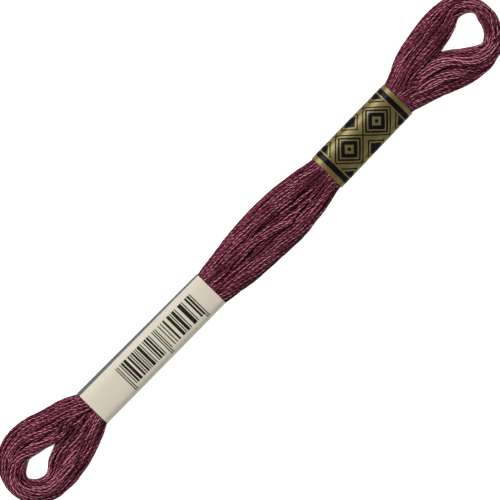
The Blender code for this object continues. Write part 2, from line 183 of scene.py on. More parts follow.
def read_rows(rows, keys):
    """The columns of a table at any keys, on smooth curves through its rows."""
    rows = np.array(sorted(rows), float)
    known, values = rows[:, 0], rows[:, 1:]
    spans = np.diff(known)[:, None]
    slopes = np.diff(values, axis=0) / spans
    products = slopes[:-1] * slopes[1:]
    sums = np.where(products > 0, slopes[:-1] + slopes[1:], 1.0)
    tangents = np.vstack([slopes[:1], np.where(products > 0, 2 * products / sums, 0.0), slopes[-1:]])
    keys = np.clip(np.asarray(keys, float), known[0], known[-1])
    i = np.clip(np.searchsorted(known, keys, side="right") - 1, 0, len(known) - 2)
    span = spans[i]
    t = (keys - known[i])[:, None] / span
    return (
        values[i] * (2 * t**3 - 3 * t**2 + 1)
        + values[i + 1] * (3 * t**2 - 2 * t**3)
        + tangents[i] * span * (t**3 - 2 * t**2 + t)
        + tangents[i + 1] * span * (t**3 - t**2)
    )


def eye_stations(legs, end, middle):
    """Places across one leg of an eye, round its end and back along the other leg, from its tip.

    Each is x and y of its inner edge, the direction outwards, width, bottom, top, spine, crossing, half.
    The strands lie on the table there, are highest halfway out and don't stray over to the other leg.
    """
    tip, side = legs[0][0], math.copysign(1, middle[0])
    xs = tip + (middle[0] - tip) * np.arange(1, LEG_STATIONS + 1) / (LEG_STATIONS + 1)
    leg_rows = list(zip(xs, read_rows(legs, xs)))
    degrees = np.linspace(0, 180, END_STATIONS)
    places = []
    for x, (high_outer, high_inner, _, _, top) in leg_rows:
        places.append((x, high_inner, 0, 1, high_outer - high_inner, 0, top, 0.5, 0, 1))
    for angle, (inner, outer, top) in zip(np.radians(degrees), read_rows(end, degrees)):
        out_x, out_y = side * math.sin(angle), math.cos(angle)
        x, y = middle[0] + out_x * inner, middle[1] + out_y * inner
        places.append((x, y, out_x, out_y, outer - inner, 0, top, 0.5, 0, 1 if out_y > 0 else -1))
    for x, (_, _, low_inner, low_outer, top) in reversed(leg_rows):
        places.append((x, low_inner, 0, -1, low_inner - low_outer, 0, top, 0.5, 0, -1))
    return places


# One turn of the thread passes all these stations: along the high half, round the eye beyond the band,
# back along the low half and round the eye beyond the label.
bundle_xs = np.linspace(BUNDLE[0][0], BUNDLE[-1][0], BUNDLE_STATIONS)
high_half, low_half = [], []
for x, (low_y, high_y, divide_y, *depth) in zip(bundle_xs, read_rows(BUNDLE, bundle_xs)):
    high_half.append((x, divide_y, 0, 1, high_y - divide_y, *depth, 1))
    low_half.append((x, divide_y, 0, -1, divide_y - low_y, *depth, -1))
right_eye = eye_stations(RIGHT_LEGS, RIGHT_END, RIGHT_MIDDLE)
left_eye = eye_stations(LEFT_LEGS, LEFT_END, LEFT_MIDDLE)[::-1]
stations = np.array(high_half + right_eye + low_half[::-1] + left_eye, float)
inner_edge, outwards = stations[:, 0:2], stations[:, 2:4]
width, bottom_z, top_z, spine, crossing, half = stations[:, 4:].T
high_index = np.arange(BUNDLE_STATIONS)
low_index = BUNDLE_STATIONS + len(right_eye) + BUNDLE_STATIONS - 1 - high_index
eye_index = np.setdiff1d(np.arange(len(stations)), np.concatenate([high_index, low_index]))
middle_line = inner_edge + outwards * (width / 2)[:, None]
steps_along = np.linalg.norm(np.roll(middle_line, -1, 0) - middle_line, axis=1)
circuit = steps_along.sum()
place = np.cumsum(steps_along) - steps_along

# A strand's place in a section is a point in a disc, which is stretched over the section.
spine_out = width * spine
reach_out = width * (1 - spine) - STRAND_RADIUS
reach_in = width * spine + crossing - STRAND_RADIUS
middle_z = (bottom_z + top_z) / 2
half_height = (top_z - bottom_z) / 2 - STRAND_RADIUS


def spread_to_section(disc):
    """Distance out from the inner edge, height, and the disc's stretch outwards, at each station."""
    reach = np.where(disc[..., 0] > 0, reach_out[:, None], reach_in[:, None])
    out = spine_out[:, None] + reach * disc[..., 0]
    return out, middle_z[:, None] + half_height[:, None] * disc[..., 1], reach


# The first places of the turns in the disc, before they are packed: rings of strands, each with how
# many there are, its radius and its first angle, which waves then move. A wave is how often it goes
# round the circuit, and its size.
RINGS = ((13, 0.92, 0.0), (8, 0.58, 0.3), (3, 0.20, 0.0))
SWIRL_WAVES = ((1, 0.25), (2, 0.3), (3, 0.2))
STRAND_WAVES = ((1, 0.16), (2, 0.14), (3, 0.08))


def add_waves(random, count, waves):
    """The sum of some waves along the circuit, drawn anew for each of count strands."""
    total = np.zeros((len(stations), count))
    for number, size in waves:
        phase = random.uniform(0, math.tau, count)
        total += random.normal(0, size, count) * np.sin(
            math.tau * number * place[:, None] / circuit + phase
        )
    return total


def lay_loosely(random):
    """Where the turns first lie in the disc at every station."""
    angle = np.concatenate([turn + math.tau * np.arange(n) / n for n, _, turn in RINGS])
    radius = np.concatenate([np.full(n, r) for n, r, _ in RINGS])
    order = random.permutation(TURNS)
    angle, radius = angle[order], radius[order]
    swirl = add_waves(random, 1, SWIRL_WAVES)
    across = radius * np.cos(angle) + add_waves(random, TURNS, STRAND_WAVES)
    up = radius * np.sin(angle) + add_waves(random, TURNS, STRAND_WAVES)
    return np.stack(
        [across * np.cos(swirl) - up * np.sin(swirl), across * np.sin(swirl) + up * np.cos(swirl)], -1
    )


def travel(line):
    """How far along a line each of its points is."""
    return np.concatenate([[0], np.cumsum(np.linalg.norm(np.diff(line, axis=0), axis=1))])


BUNDLE_SPACING = 0.86  # between strands of one bundle
BUNDLE_EASE = 3.0  # length over which a bundle rises at its start and sinks at its end
BUNDLE_RISE = 0.3  # how far above the disc's edge a bundle's turns may lie


def find_pulls():
    """How firmly each turn is held at each station by a bundle, 0 to 1, and to which place in the disc.

    It is held where the bundle's route crosses the line outwards from the station.
    """
    pull = np.zeros((len(stations), TURNS))
    pulled_to = np.zeros((len(stations), TURNS, 2))
    for members, side, lift, route in BUNDLES:
        route = np.array(route)
        travelled = travel(route)
        for station in np.flatnonzero(half == side):
            offset = route - inner_edge[station]
            beside = offset @ (-outwards[station, 1], outwards[station, 0])
            outward = offset @ outwards[station]
            for i in np.flatnonzero(beside[:-1] * beside[1:] <= 0):
                share = beside[i] / (beside[i] - beside[i + 1] + 1e-12)
                out = outward[i] + share * (outward[i + 1] - outward[i])
                if not -crossing[station] - 0.5 < out < width[station]:
                    continue
                done = travelled[i] + share * (travelled[i + 1] - travelled[i])
                grip = lift * np.clip(min(done, travelled[-1] - done) / BUNDLE_EASE, 0, 1)
                for number, turn in enumerate(members):
                    goal = out + BUNDLE_SPACING * (number - (len(members) - 1) / 2)
                    goal = max(goal, STRAND_RADIUS - crossing[station])
                    reach = reach_out if goal > spine_out[station] else reach_in
                    across = (goal - spine_out[station]) / reach[station]
                    pull[station, turn] = grip
                    up = math.sqrt(max(1.0 - across * across, 0.1)) + BUNDLE_RISE * lift
                    pulled_to[station, turn] = across, up
    return pull, pulled_to


def fade(values, start, end, soft):
    """1 between start and end, easing to 0 over soft beyond them."""
    rise = np.clip((values - start + soft) / soft, 0, 1)
    fall = np.clip((end + soft - values) / soft, 0, 1)
    both = rise * fall
    return both * both * (3 - 2 * both)


def find_furrows():
    """Each furrow at every station: how much of it is there, distance out, height and width."""
    furrows = []
    middle_x = middle_line[:, 0]
    for points, size in FURROWS:
        xs, ys = np.array(points).T
        line_out = outwards[:, 1] * (np.interp(middle_x, xs, ys) - inner_edge[:, 1])
        window = fade(middle_x, xs.min(), xs.max(), 3) * (np.abs(outwards[:, 1]) > 0.9)
        window = window * (line_out > -crossing) * (line_out < width)
        reach = np.where(line_out > spine_out, reach_out, reach_in)
        surface = np.sqrt(np.clip(1 - ((line_out - spine_out) / reach) ** 2, 0, 1))
        surface = middle_z + half_height * surface + STRAND_RADIUS
        furrows.append((window, line_out, surface, size))
    return furrows


# Lines of sight that let no light through between strands: radians from straight down, the furthest
# that two neighbours may lie apart across the line, and how firmly they close in.
FIRST_SIGHTS = ((0.0, 0.55, 3),)
SLANTS = (-48, -36, -24, -12, 12, 24, 36, 48)
LAST_SIGHTS = ((0.0, 0.5, 4), *((math.radians(slant), 0.75, 3) for slant in SLANTS))


def close_gaps(places, widest):
    """How far to move the strands of each row, by their places, so that none lie further apart."""
    order = np.argsort(places, axis=1)
    gaps = np.diff(np.take_along_axis(places, order, 1), axis=1)
    inwards = np.clip(gaps - widest, 0, 0.6) / 2
    moves = np.zeros(places.shape)
    moves[:, :-1] += inwards
    moves[:, 1:] -= inwards
    placed = np.zeros(places.shape)
    np.put_along_axis(placed, order, moves, 1)
    return placed


def close_sight(out, up, slant, widest, strength):
    """How far to move strands out and up so that a line of sight stays shut, at every station.

    Between the eyes the two halves lie beside each other, and their strands close in together.
    """
    ahead, aside = math.cos(slant), math.sin(slant)
    seen = out * ahead + up * aside
    seen_low = up[low_index] * aside - out[low_index] * ahead
    both = close_gaps(np.hstack([seen[high_index], seen_low]), widest) * strength
    moves = np.zeros(out.shape)
    moves[high_index], moves[low_index] = both[:, :TURNS], both[:, TURNS:]
    moves[eye_index] = close_gaps(seen[eye_index], widest) * strength
    outward = ahead * moves
    outward[low_index] *= -1
    return outward, aside * moves


COVER_BESIDE = 0.5  # a strand covers another that is no further beside it, from middle to middle,
COVER_RISE = 0.35  # and further below it than this


def find_hidden(out, up):
    """How far each strand is hidden from above by others, 0 to 1, at every station."""

    def covered(places, heights):
        beside = np.abs(places[:, :, None] - places[:, None, :]) < COVER_BESIDE
        return (beside & (heights[:, None, :] - heights[:, :, None] > COVER_RISE)).any(2).astype(float)

    hidden = covered(out, up)
    both_out = np.hstack([out[high_index], -out[low_index]])
    both = covered(both_out, np.hstack([up[high_index], up[low_index]]))
    hidden[high_index], hidden[low_index] = both[:, :TURNS], both[:, TURNS:]
    least = np.minimum(hidden, np.minimum(np.roll(hidden, 1, 0), np.roll(hidden, -1, 0)))
    return (least + (np.roll(least, 1, 0) + np.roll(least, -1, 0)) / 2) / 2


def push_apart(apart, above):
    """The share of their distance by which pairs of strands move apart, and the distance."""
    distance = np.hypot(apart, above) + 1e-9
    return np.where(distance < STRAND_SPACING, (STRAND_SPACING - distance) / distance / 2, 0.0), distance


# What each round of packing does, in mm, or as a share of the way to where a strand should be.
PASS_PUSH = 0.12  # strands that pass over each other part in height
FILL_PUSH = 0.02  # the springy floss pushes outwards
MOST_PUSH = 0.15
STIFFNESS = 0.35  # a strand straightens
LOOSE_SHARE = 0.008  # it stays near its first place, less and less
PULL_SHARE = 0.2  # a bundle holds it
HELD_HEADROOM = 0.08  # how far the others stay under the strands of a bundle, in the disc
TOP_FREEDOM = 0.15  # how freely the strands that show still move in the last rounds


def pack_turns(seed, rounds=600, last_rounds=200):
    """Where the turns lie in the disc at every station, pushed apart until they lie side by side.

    The last rounds shut the slanted lines of sight too, and move mostly the strands that don't show.
    """
    loose = lay_loosely(np.random.default_rng(seed))
    pull, pulled_to = find_pulls()
    furrows = find_furrows()
    ceiling = np.where(pull > 0, 1 + BUNDLE_RISE, 1 - HELD_HEADROOM * pull.max(1)[:, None])
    freedom = np.ones(pull.shape)
    disc = loose.copy()
    for number in range(rounds + last_rounds):
        out, up, reach = spread_to_section(disc)
        if number == rounds:
            freedom = TOP_FREEDOM + (1 - TOP_FREEDOM) * find_hidden(out, up)
        before = disc.copy()
        # strands of the same half
        apart, above = out[:, :, None] - out[:, None, :], up[:, :, None] - up[:, None, :]
        push, distance = push_apart(apart, above)
        move_out, move_up = (push * apart).sum(2), (push * above).sum(2)
        # strands that change places from one station to the next pass over each other
        close = distance < 2.2 * STRAND_SPACING
        turned = apart * np.roll(apart, -1, 0) + above * np.roll(above, -1, 0) < 0
        turned = turned & close & np.roll(close, -1, 0)
        if turned.any():
            nearby = sum(np.roll(above, shift, 0) for shift in range(-3, 4))
            sense = np.where(np.abs(nearby) > 0.05, np.sign(nearby), np.sign(above + 1e-9))
            over = PASS_PUSH * turned * sense
            move_up += (over + np.roll(over, 1, 0)).sum(2)
        # strands of the other half, between the eyes
        apart = out[high_index][:, :, None] + out[low_index][:, None, :]
        above = up[high_index][:, :, None] - up[low_index][:, None, :]
        push, _ = push_apart(apart, above)
        move_out[high_index] += (push * apart).sum(2)
        move_up[high_index] += (push * above).sum(2)
        move_out[low_index] += (push * apart).sum(1)
        move_up[low_index] -= (push * above).sum(1)
        # furrows
        for window, line_out, surface, size in furrows:
            away = out - line_out[:, None]
            above = up - surface[:, None]
            distance = np.hypot(away, above) + 1e-9
            push = window[:, None] * np.clip(STRAND_RADIUS + size - distance, 0, None) / distance
            move_out += push * away
            move_up += push * above
        # no light comes through
        for sight in FIRST_SIGHTS if number < rounds else LAST_SIGHTS:
            outward, upward = close_sight(out, up, *sight)
            move_out += outward
            move_up += upward
        # the floss fills its envelope
        radius = np.linalg.norm(disc, axis=-1) + 1e-6
        sideways = np.where(crossing[:, None] > 0, np.maximum(disc[..., 0], 0), disc[..., 0])
        move_out += FILL_PUSH * sideways / radius
        move_up += FILL_PUSH * np.maximum(disc[..., 1], 0) / radius
        disc[..., 0] += np.clip(move_out / 2, -MOST_PUSH, MOST_PUSH) / reach
        disc[..., 1] += np.clip(move_up / 2, -MOST_PUSH, MOST_PUSH) / half_height[:, None]
        stiffness = STIFFNESS if number < 0.85 * rounds else STIFFNESS / 2
        disc += stiffness * ((np.roll(disc, 1, 0) + np.roll(disc, -1, 0)) / 2 - disc)
        disc += LOOSE_SHARE * max(1 - number / rounds, 0) * (loose - disc)
        disc += PULL_SHARE * pull[..., None] * (pulled_to - disc)
        disc[..., 1] = np.minimum(disc[..., 1], ceiling)
        disc /= np.maximum(np.linalg.norm(disc, axis=-1) / (1 + BUNDLE_RISE * pull), 1.0)[..., None]
        disc = before + freedom[..., None] * (disc - before)
    return disc, pull


def curve_through(before, start, end, after, steps):
    """Points on a smooth curve from each start to its end, given the points before and after them."""
    t = (np.arange(steps) / steps)[None, :, None]
    return 0.5 * (
        2 * start[:, None]
        + (end - before)[:, None] * t
        + (2 * before - 5 * start + 4 * end - after)[:, None] * t**2
        + (3 * start - before - 3 * end + after)[:, None] * t**3
    ).reshape(-1, start.shape[1])


def space_evenly(line, travelled, count):
    """count points at equal distances round a closed line, from its start."""
    wanted = np.arange(count) * travelled[-1] / count
    return np.stack([np.interp(wanted, travelled, column) for column in line.T], 1)


def smooth_paths(disc, pull, spacing):
    """The turns as closed smooth paths of evenly spaced points, in mm, each with its pull."""
    out, up, _ = spread_to_section(disc)
    flat = inner_edge[:, None, :] + outwards[:, None, :] * out[..., None]
    points = np.concatenate([flat, up[..., None], pull[..., None]], -1).transpose(1, 0, 2)
    paths = []
    for here in points:
        fine = curve_through(np.roll(here, 1, 0), here, np.roll(here, -1, 0), np.roll(here, -2, 0), 8)
        fine = np.vstack([fine, fine[:1]])
        travelled = travel(fine[:, :3])
        paths.append(space_evenly(fine, travelled, round(travelled[-1] / spacing)))
    return paths


turn_paths = smooth_paths(*pack_turns(seed=3), spacing=0.8)
# The seam of each path hides inside the label, in its high half.
SEAM_X = -33.0
seams = [int(np.argmin(np.abs(path[:, 0] - SEAM_X) + 100 * (path[:, 1] < 0))) for path in turn_paths]
turn_paths = [np.roll(path, -start, 0) for path, start in zip(turn_paths, seams)]


def feed(tree, socket, value):
    """Sets a node's input, or links it where the value is a socket."""
    if isinstance(value, bpy.types.NodeSocket):
        tree.links.new(value, socket)
    else:
        socket.default_value = value


def add_node(tree, kind, inputs=(), **settings):
    """A node with its settings and its inputs, each a value or the socket that feeds it."""
    made = tree.nodes.new(kind)
    for name, value in settings.items():
        setattr(made, name, value)
    for key, value in dict(inputs).items():
        feed(tree, made.inputs[key], value)
    return made


def calculate(tree, operation, *values):
    """The result of a Math node."""
    return add_node(tree, "ShaderNodeMath", enumerate(values), operation=operation).outputs[0]


def calculate_vector(tree, operation, *values):
    """The result of a Vector Math node."""
    made = add_node(tree, "ShaderNodeVectorMath", operation=operation)
    for socket, value in zip([s for s in made.inputs if s.enabled], values):
        feed(tree, socket, value)
    return made.outputs[0]


def add_material(name, colour, roughness, **constants):
    """A material whose shader has these values, with its tree and its shader node."""
    material = bpy.data.materials.new(name)
    material.use_nodes = True
    tree = material.node_tree
    shader = tree.nodes["Principled BSDF"]
    shader.inputs["Base Color"].default_value = (*colour, 1)
    shader.inputs["Roughness"].default_value = roughness
    for key, value in constants.items():
        shader.inputs[key.replace("_", " ")].default_value = value
    return material, tree, shader


def read_attribute(tree, name, output="Fac"):
    """An attribute of the mesh, as a number or, from the output Vector, as a vector."""
    return add_node(tree, "ShaderNodeAttribute", attribute_name=name).outputs[output]


def make_noise(tree, place, scale, detail):
    """A noise texture's number at a place."""
    made = add_node(tree, "ShaderNodeTexNoise", {"Vector": place, "Scale": scale, "Detail": detail})
    return made.outputs["Fac"]


cotton, tree, shader = add_material(
    "mulberry_cotton", (0.10, 0.02, 0.035), 0.35,
    Specular_IOR_Level=0.5, Specular_Tint=(1.0, 0.28, 0.42, 1),
    Sheen_Weight=0.01, Sheen_Roughness=0.4, Sheen_Tint=(1.0, 0.72, 0.80, 1),
)
along = read_attribute(tree, "along")
ply_tone_and_shade = read_attribute(tree, "ply_tone_and_shade")
turn_tint = read_attribute(tree, "turn_tint")
bundle_highlight = read_attribute(tree, "bundle_highlight")
around = add_node(tree, "ShaderNodeSeparateXYZ", {0: read_attribute(tree, "around", "Vector")}).outputs
angle = calculate(tree, "ARCTAN2", around["Y"], around["X"])

# The two yarns of a ply, which go once round each other in this length, and their fibres. Both raise the
# bump, and both are painted into the colour as well: lighter on the yarns' crowns and darker in the
# grooves between them, a painted highlight and painted shade, and the fibres as fine painted glints.
YARN_LAY = 3.0
lay_rate = calculate(tree, "MULTIPLY_ADD", ply_tone_and_shade, 0.5 * math.tau / YARN_LAY, 0.75 * math.tau / YARN_LAY)
turned = calculate(tree, "MULTIPLY", along, lay_rate)
turned = calculate(tree, "MULTIPLY_ADD", ply_tone_and_shade, 61.0, turned)
yarn_angle = calculate(tree, "SUBTRACT", angle, turned)
yarn_relief_and_shade = calculate(tree, "ABSOLUTE", calculate(tree, "COSINE", yarn_angle))
fibre_place = add_node(tree, "ShaderNodeCombineXYZ", {
    "X": calculate(tree, "MULTIPLY", along, 0.8),
    "Y": calculate(tree, "MULTIPLY", yarn_angle, 2.2),
    "Z": calculate(tree, "MULTIPLY", ply_tone_and_shade, 40),
}).outputs[0]
fibre_relief_and_glints = make_noise(tree, fibre_place, 1.3, 3.0)

# Dashes where a ply takes the light or loses it, and slow changes over the whole skein.
dash_place = add_node(tree, "ShaderNodeCombineXYZ", {
    "X": calculate(tree, "MULTIPLY", along, 0.35), "Y": calculate(tree, "MULTIPLY", ply_tone_and_shade, 97.0),
}).outputs[0]
dash = add_node(tree, "ShaderNodeMapRange", {
    "Value": make_noise(tree, dash_place, 1.0, 2.0), "From Min": 0.32, "From Max": 0.68,
}).outputs[0]
here = add_node(tree, "ShaderNodeTexCoord").outputs["Object"]
patch = make_noise(tree, here, 160.0, 2.0)
# The colour mixes random tone with painted light and shade: the yarn, ply, fibre, dash and bundle terms paint
# highlights and shade, while the turn and patch terms are random tone.
tone_and_painted_light = -1.24
for source, weight in (
    (yarn_relief_and_shade, 0.75), (ply_tone_and_shade, 1.00), (turn_tint, 0.15), (dash, 0.15), (fibre_relief_and_glints, 0.50), (patch, 0.2),
    (bundle_highlight, 0.2),
):
    tone_and_painted_light = calculate(tree, "MULTIPLY_ADD", source, weight, tone_and_painted_light)
ramp = add_node(tree, "ShaderNodeValToRGB", {"Fac": tone_and_painted_light})
stops = ramp.color_ramp.elements
stops.new(0.35)
stops.new(0.70)
# The darkest stops are painted shade for the hollows, and the top stop, a washed-out pink, is a painted
# glint.
for stop, colour in zip(stops, (
    (0.012, 0.0003, 0.0015), (0.050, 0.0036, 0.0105), (0.205, 0.031, 0.061), (0.64, 0.25, 0.345),
)):
    stop.color = (*colour, 1)
tree.links.new(ramp.outputs["Color"], shader.inputs["Base Color"])
bump_height = calculate(tree, "MULTIPLY_ADD", fibre_relief_and_glints, 0.35, yarn_relief_and_shade)
bump = add_node(tree, "ShaderNodeBump", {"Height": bump_height, "Strength": 1.0, "Distance": 0.07 * MM})
tree.links.new(bump.outputs["Normal"], shader.inputs["Normal"])

# The tree that lays the plies round the path of each turn.
PLIES = 6
PLY_CHANCE = 0.35  # how much of a ply's tone is chance; the rest is painted light and shade, lighter and darker plies by turns
WANDER_SCALE = 330.0
ply_tree = bpy.data.node_groups.new("plies_round_a_turn", "GeometryNodeTree")
ply_tree.interface.new_socket("Geometry", in_out="INPUT", socket_type="NodeSocketGeometry")
ply_inputs = (
    ("Plies", "NodeSocketInt", PLIES),
    ("Ply radius", "NodeSocketFloat", 0.17 * MM),
    ("Ply sides", "NodeSocketInt", 5),
    ("Distance from the middle", "NodeSocketFloat", 0.275 * MM),
    ("Unevenness", "NodeSocketFloat", 0.4),
    ("Seed", "NodeSocketInt", 7),
    ("Material", "NodeSocketMaterial", cotton),
)
for name, kind, value in ply_inputs:
    ply_tree.interface.new_socket(name, in_out="INPUT", socket_type=kind)
ply_tree.interface.new_socket("Geometry", in_out="OUTPUT", socket_type="NodeSocketGeometry")
given = add_node(ply_tree, "NodeGroupInput").outputs


def ply_node(kind, inputs=(), **settings):
    """The first output of a geometry node in this tree."""
    return add_node(ply_tree, "GeometryNode" + kind, inputs, **settings).outputs[0]


def ply_math(operation, *values):
    """The result of a Math node in this tree."""
    return calculate(ply_tree, operation, *values)


def store(geometry, name, value, kind, domain):
    """The geometry with a named attribute."""
    inputs = {"Geometry": geometry, "Name": name, "Value": value}
    return ply_node("StoreNamedAttribute", inputs, data_type=kind, domain=domain)


def named(name, kind="FLOAT"):
    """A named attribute's value."""
    made = add_node(ply_tree, "GeometryNodeInputNamedAttribute", {"Name": name}, data_type=kind)
    return [s for s in made.outputs if s.enabled][0]


def draw(low, high, seed_step, kind="FLOAT"):
    """A random number for each curve."""
    seed = ply_math("ADD", given["Seed"], seed_step)
    made = add_node(ply_tree, "FunctionNodeRandomValue", {"Seed": seed}, data_type=kind)
    limits = [s for s in made.inputs if s.enabled and s.name in ("Min", "Max")]
    limits[0].default_value, limits[1].default_value = low, high
    return [s for s in made.outputs if s.enabled][0]


turns = ply_node("SetCurveNormal", {"Curve": given["Geometry"]}, mode="Z_UP")
turns = store(turns, "turn_tint", draw(0.0, 1.0, 1), "FLOAT", "CURVE")
turns = store(turns, "turn_twists", draw(18, 25, 2, "INT"), "INT", "CURVE")
turns = store(turns, "turn_phase", draw(0.0, math.tau, 3), "FLOAT", "CURVE")
copies = add_node(
    ply_tree, "GeometryNodeDuplicateElements", {"Geometry": turns, "Amount": given["Plies"]}, domain="SPLINE"
).outputs
plies = store(copies["Geometry"], "ply", copies["Duplicate Index"], "INT", "CURVE")
# Every other ply is painted lighter and the rest darker, painted light and shade that stands for lit plies
# and the shaded grooves between them.
painted_lit_ply = ply_math("MODULO", copies["Duplicate Index"], 2)
tone_with_painted_shade = ply_math("MULTIPLY_ADD", painted_lit_ply, 1 - PLY_CHANCE, draw(0.0, PLY_CHANCE, 4))
plies = store(plies, "ply_tone_and_shade", tone_with_painted_shade, "FLOAT", "CURVE")
spline = add_node(ply_tree, "GeometryNodeSplineParameter").outputs
plies = store(plies, "along", ply_math("DIVIDE", spline["Length"], MM), "FLOAT", "POINT")
# a path's radius is 1 more than how firmly it is held on top; the floss material paints such strands lighter
# by this, a painted highlight
plies = store(plies, "bundle_highlight", ply_math("SUBTRACT", ply_node("InputRadius"), 1.0), "FLOAT", "POINT")
plies = ply_node("SetCurveRadius", {"Curve": plies, "Radius": 1.0})

# A ply's angle round its turn and its distance from the middle both wander.
where = ply_node("InputPosition")
wander_place = calculate_vector(ply_tree, "SCALE", where, WANDER_SCALE)
wander = add_node(
    ply_tree, "ShaderNodeTexNoise",
    {"Vector": wander_place, "W": ply_math("MULTIPLY", named("ply_tone_and_shade"), 50.0), "Scale": 1.0, "Detail": 1.0},
    noise_dimensions="4D",
)
wander = calculate_vector(ply_tree, "SUBTRACT", wander.outputs["Color"], (0.5, 0.5, 0.5))
wander = add_node(ply_tree, "ShaderNodeSeparateXYZ", {0: wander}).outputs
share = ply_math("DIVIDE", named("ply", "INT"), given["Plies"])
share = ply_math("MULTIPLY_ADD", named("turn_twists", "INT"), spline["Factor"], share)
share = ply_math("MULTIPLY_ADD", wander["X"], given["Unevenness"], share)
ply_angle = ply_math("MULTIPLY_ADD", share, math.tau, named("turn_phase"))
away = ply_math("MULTIPLY_ADD", ply_math("MULTIPLY", wander["Y"], given["Unevenness"]), 1.2, 1.0)
away = ply_math("MULTIPLY", away, given["Distance from the middle"])
normal = ply_node("InputNormal")
sideways = calculate_vector(ply_tree, "CROSS_PRODUCT", ply_node("InputTangent"), normal)
parts = [
    calculate_vector(ply_tree, "SCALE", axis, ply_math("MULTIPLY", away, ply_math(wave, ply_angle)))
    for axis, wave in ((normal, "COSINE"), (sideways, "SINE"))
]
plies = ply_node("SetPosition", {"Geometry": plies, "Offset": calculate_vector(ply_tree, "ADD", *parts)})
outline = ply_node(
    "CurvePrimitiveCircle", {"Resolution": given["Ply sides"], "Radius": given["Ply radius"]}, mode="RADIUS"
)
outline = store(outline, "around", calculate_vector(ply_tree, "NORMALIZE", where), "FLOAT_VECTOR", "POINT")
tubes = ply_node("CurveToMesh", {"Curve": plies, "Profile Curve": outline})
tubes = ply_node("SetShadeSmooth", {"Geometry": tubes})
tubes = ply_node("RealizeInstances", {"Geometry": tubes})
tubes = ply_node("SetMaterial", {"Geometry": tubes, "Material": given["Material"]})
add_node(ply_tree, "NodeGroupOutput", {"Geometry": tubes})


def add_turns(name, paths, seed):
    """One piece of several turns of the thread."""
    curve = bpy.data.curves.new(name, "CURVE")
    curve.dimensions = "3D"
    for path in paths:
        spline = curve.splines.new("POLY")
        spline.points.add(len(path) - 1)
        spline.points.foreach_set("co", np.hstack([path[:, :3] * MM, np.ones((len(path), 1))]).ravel())
        # each point's radius carries its pull, which the floss material turns into a painted highlight
        spline.points.foreach_set("radius", 1 + np.clip(path[:, 3], 0, 1))
        spline.use_cyclic_u = True
    guide = bpy.data.objects.new(name + "_paths", curve)
    bpy.context.scene.collection.objects.link(guide)
    plying = guide.modifiers.new("plies", "NODES")
    plying.node_group = ply_tree
    values = {label: value for label, _, value in ply_inputs} | {"Seed": seed}
    for socket in ply_tree.interface.items_tree:
        if socket.in_out == "INPUT" and socket.name in values:
            plying[socket.identifier] = values[socket.name]
    evaluated = guide.evaluated_get(bpy.context.evaluated_depsgraph_get())
    mesh = bpy.data.meshes.new_from_object(evaluated)
    bpy.data.objects.remove(guide)
    made = bpy.data.objects.new(name, mesh)
    bpy.context.scene.collection.objects.link(made)
    return made


for number, name in enumerate(("floss_turns_a", "floss_turns_b", "floss_turns_c", "floss_turns_d")):
    piece = add_turns(name, turn_paths[number::4], seed=7 + 100 * number)
    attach(piece, "root")
    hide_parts("floss_hank")

# --- The paper label ------------------------------------------------------------------------------------
# A sleeve of smooth cream paper, 0.12 mm thick, glued round one end of the bundle. It is creased along
# its upper edge, where a narrow side coloured dark grey turns down, and its face carries plain black bars.
LABEL_X = (-53.6, -13.1)
LABEL_CREASE = (4.54, 4.28)
# The label's section from the crease over the face and round below, as y and z.
LABEL_SECTION = (
    (2.60, 4.82), (0.00, 4.92), (-2.40, 4.84), (-4.05, 4.40), (-4.82, 3.10), (-4.62, 1.35),
    (-3.70, 0.28), (-2.60, 0.02), (0.30, 0.02), (3.20, 0.02), (4.35, 0.42), (5.05, 2.00),
)
LABEL_LEAN = (0.42, 0.0)  # how much further out the side stands at each end of the label
GREY_SIDE = (4.3, 0.3, 4.275)  # the side is grey beyond this y, between these heights
PAPER = 0.12
TABLE_CLEARANCE = 0.02
RING_POINTS = 120


def round_corners(corners):
    """A smooth line through corners, with a sharp start and end."""
    corners = np.array(corners, float)
    ends = np.vstack([corners[:1], corners, corners[-1:]])
    line = curve_through(ends[:-3], ends[1:-2], ends[2:-1], ends[3:], 12)
    return np.vstack([line, corners[-1:]])


def close_section(line):
    """A sleeve's section along a closed line of y and z, which the table holds up."""
    line = np.stack([line[:, 0], np.maximum(line[:, 1], TABLE_CLEARANCE)], 1)
    return space_evenly(line, travel(line), RING_POINTS)


def label_section(x):
    """The label's outline at x, from the crease round to the crease again."""
    share = (x - LABEL_X[0]) / (LABEL_X[1] - LABEL_X[0])
    lean = LABEL_LEAN[0] + (LABEL_LEAN[1] - LABEL_LEAN[0]) * share
    *face, side = LABEL_SECTION
    return close_section(round_corners([LABEL_CREASE, *face, (side[0] + lean, side[1]), LABEL_CREASE]))


